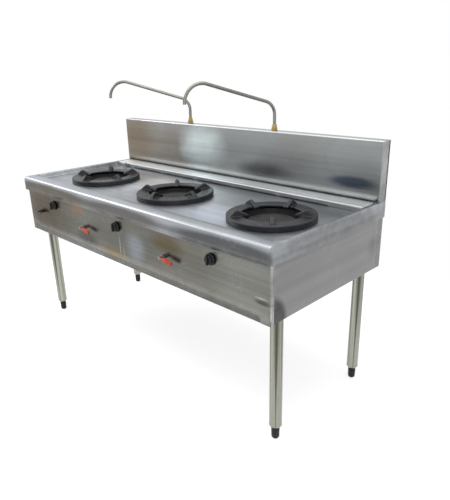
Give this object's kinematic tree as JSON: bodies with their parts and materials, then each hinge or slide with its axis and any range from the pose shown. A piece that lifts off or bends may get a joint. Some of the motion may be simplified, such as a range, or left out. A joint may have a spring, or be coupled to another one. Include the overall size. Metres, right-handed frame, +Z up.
{
  "type": "wok range",
  "caption": "Floor-standing stainless gas wok range on round legs, with sunken worktop, cast-iron wok rings, taps and swivel spouts.",
  "frame": {"origin": "on the floor, in the middle of the whole range's box seen from above", "axes": "+X to the right as seen from the front, +Y to the back, +Z up"},
  "size_m": [1.8, 0.7914, 1.347],
  "materials": {
    "brushed_sheet": "brushed stainless sheet, worn",
    "leg_steel": "polished stainless tube",
    "spout_steel": "satin stainless tube",
    "frame_steel": "grey primer",
    "gas_pipe": "dull galvanised pipe",
    "cast_iron": "black satin casting",
    "burner_iron": "grey bare casting",
    "brass": "dull brass",
    "black_plastic": "black moulding",
    "black_steel": "black painted steel",
    "dark_zinc": "dark slate casting",
    "orange_vinyl": "dipped orange-red vinyl"
  },
  "bodies": {
    "cabinet": {"worktop": "brushed_sheet", "gutter_cover": "brushed_sheet", "gutter_channel": "brushed_sheet", "backsplash_shell": "brushed_sheet", "backsplash_rear_cover": "brushed_sheet", "front_apron": "brushed_sheet", "side_panel_left": "brushed_sheet", "side_panel_right": "brushed_sheet", "back_panel": "brushed_sheet", "side_frame_left": "frame_steel", "side_frame_right": "frame_steel", "front_rail": "frame_steel", "rear_rail": "frame_steel", "burner_rail": "frame_steel", "leg_front_left": "leg_steel", "leg_front_right": "leg_steel", "leg_rear_left": "leg_steel", "leg_rear_right": "leg_steel", "fire_bowl_left": "cast_iron", "mixing_tube_left": "cast_iron", "gas_valve_left": "brass", "pilot_valve_left": "brass", "pilot_pipe_left": "gas_pipe", "fire_bowl_middle": "cast_iron", "mixing_tube_middle": "cast_iron", "gas_valve_middle": "brass", "pilot_valve_middle": "brass", "pilot_pipe_middle": "gas_pipe", "fire_bowl_right": "cast_iron", "mixing_tube_right": "cast_iron", "gas_valve_right": "brass", "pilot_valve_right": "brass", "pilot_pipe_right": "gas_pipe", "gas_manifold": "gas_pipe", "spout_nut_left": "brass", "spout_nut_right": "brass", "water_pipe": "gas_pipe", "rinse_nozzle": "spout_steel"},
    "knob_left": {"gas_knob_left": "black_plastic"},
    "ring_left": {"wok_ring_left": "cast_iron"},
    "burner_left": {"burner_head_left": "burner_iron"},
    "knob_middle": {"gas_knob_middle": "black_plastic"},
    "ring_middle": {"wok_ring_middle": "cast_iron"},
    "burner_middle": {"burner_head_middle": "burner_iron"},
    "knob_right": {"gas_knob_right": "black_plastic"},
    "ring_right": {"wok_ring_right": "cast_iron"},
    "burner_right": {"burner_head_right": "burner_iron"},
    "handle_left": {"wing_handle_left": "dark_zinc"},
    "handle_middle": {"pilot_lever_middle": "leg_steel", "lever_grip_middle": "orange_vinyl"},
    "handle_right": {"pilot_lever_right": "leg_steel", "lever_grip_right": "orange_vinyl"},
    "swivel_left": {"spout_left": "spout_steel"},
    "swivel_right": {"spout_right": "spout_steel"},
    "levelling_front_left": {"foot_front_left": "black_steel"},
    "levelling_front_right": {"foot_front_right": "black_steel"},
    "levelling_rear_left": {"foot_rear_left": "black_steel"},
    "levelling_rear_right": {"foot_rear_right": "black_steel"}
  },
  "joints": [
    {"name": "knob_turn_left", "type": "hinge", "parent": "cabinet", "child": "knob_left", "pos_m": [-0.608, -0.36625, 0.729], "axis": [0, -1, 0], "range_deg": [0, 90]},
    {"name": "knob_turn_middle", "type": "hinge", "parent": "cabinet", "child": "knob_middle", "pos_m": [-0.022, -0.36625, 0.729], "axis": [0, -1, 0], "range_deg": [0, 90]},
    {"name": "knob_turn_right", "type": "hinge", "parent": "cabinet", "child": "knob_right", "pos_m": [0.603, -0.36625, 0.729], "axis": [0, -1, 0], "range_deg": [0, 90]},
    {"name": "pilot_turn_left", "type": "hinge", "parent": "cabinet", "child": "handle_left", "pos_m": [-0.768, -0.36625, 0.669], "axis": [0, 1, 0], "range_deg": [-8, 82]},
    {"name": "pilot_turn_middle", "type": "hinge", "parent": "cabinet", "child": "handle_middle", "pos_m": [-0.31, -0.36625, 0.669], "axis": [0, 1, 0], "range_deg": [-8, 82]},
    {"name": "pilot_turn_right", "type": "hinge", "parent": "cabinet", "child": "handle_right", "pos_m": [0.32, -0.36625, 0.669], "axis": [0, 1, 0], "range_deg": [-8, 82]},
    {"name": "spout_swivel_left", "type": "hinge", "parent": "cabinet", "child": "swivel_left", "pos_m": [-0.305, 0.36675, 1.108], "axis": [0, 0, 1], "range_deg": [-37.8, 142.2]},
    {"name": "spout_swivel_right", "type": "hinge", "parent": "cabinet", "child": "swivel_right", "pos_m": [0.305, 0.36675, 1.108], "axis": [0, 0, 1], "range_deg": [-68.7, 111.3]},
    {"name": "ring_lift_left", "type": "slide", "parent": "cabinet", "child": "ring_left", "axis": [0, 0, 1], "range_m": [0, 0.1]},
    {"name": "ring_lift_middle", "type": "slide", "parent": "cabinet", "child": "ring_middle", "axis": [0, 0, 1], "range_m": [0, 0.1]},
    {"name": "ring_lift_right", "type": "slide", "parent": "cabinet", "child": "ring_right", "axis": [0, 0, 1], "range_m": [0, 0.1]},
    {"name": "burner_lift_left", "type": "slide", "parent": "cabinet", "child": "burner_left", "axis": [0, 0, 1], "range_m": [0, 0.1]},
    {"name": "burner_lift_middle", "type": "slide", "parent": "cabinet", "child": "burner_middle", "axis": [0, 0, 1], "range_m": [0, 0.1]},
    {"name": "burner_lift_right", "type": "slide", "parent": "cabinet", "child": "burner_right", "axis": [0, 0, 1], "range_m": [0, 0.1]},
    {"name": "foot_screw_front_left", "type": "slide", "parent": "cabinet", "child": "levelling_front_left", "axis": [0, 0, -1], "range_m": [0, 0.025]},
    {"name": "foot_screw_front_right", "type": "slide", "parent": "cabinet", "child": "levelling_front_right", "axis": [0, 0, -1], "range_m": [0, 0.025]},
    {"name": "foot_screw_rear_left", "type": "slide", "parent": "cabinet", "child": "levelling_rear_left", "axis": [0, 0, -1], "range_m": [0, 0.025]},
    {"name": "foot_screw_rear_right", "type": "slide", "parent": "cabinet", "child": "levelling_rear_right", "axis": [0, 0, -1], "range_m": [0, 0.025]}
  ]
}
